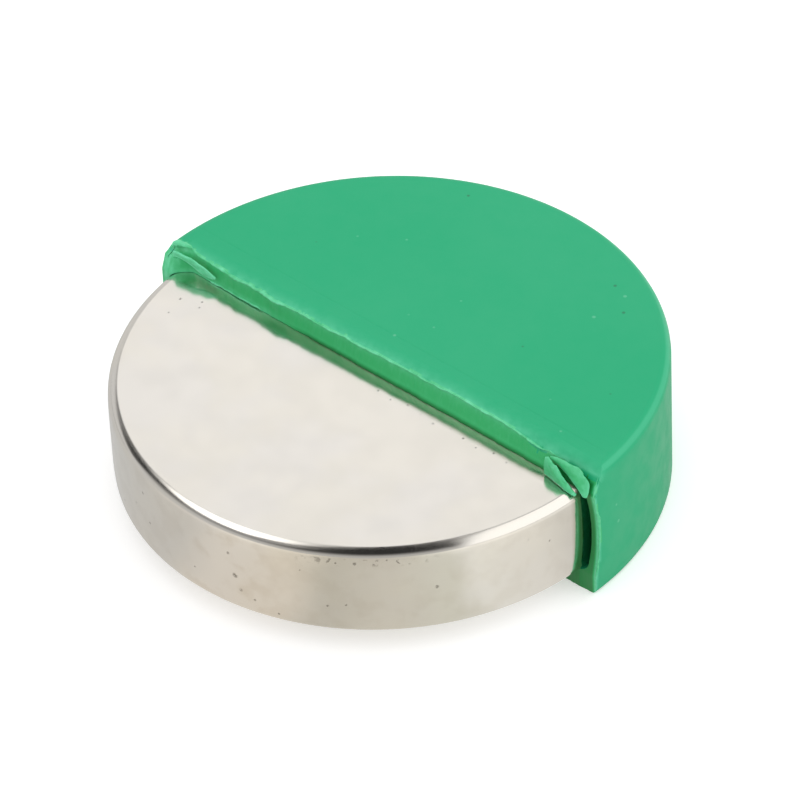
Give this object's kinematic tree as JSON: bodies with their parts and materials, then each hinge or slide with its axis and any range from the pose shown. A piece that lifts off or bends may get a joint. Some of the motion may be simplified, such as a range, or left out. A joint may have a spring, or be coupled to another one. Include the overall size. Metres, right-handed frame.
{
  "type": "plastic coated disc magnet",
  "caption": "Flat round magnet with a bright plated surface, half bare and half inside a green moulded plastic coat that was cut open across the middle.",
  "frame": {"origin": "on the disc's axis, at the flat underside of the plastic coat", "axes": "+Z along the disc's axis, up; +Y towards the coated half; the bare half faces -Y"},
  "size_m": [0.0275, 0.0268, 0.0076],
  "materials": {
    "nickel_plating": "bright nickel plating with rounded, tumbled edges",
    "green_plastic": "satin moulded plastic, whitened where it was cut"
  },
  "bodies": {
    "root": {"magnet_disc": "nickel_plating", "plastic_coat": "green_plastic"}
  },
  "joints": []
}
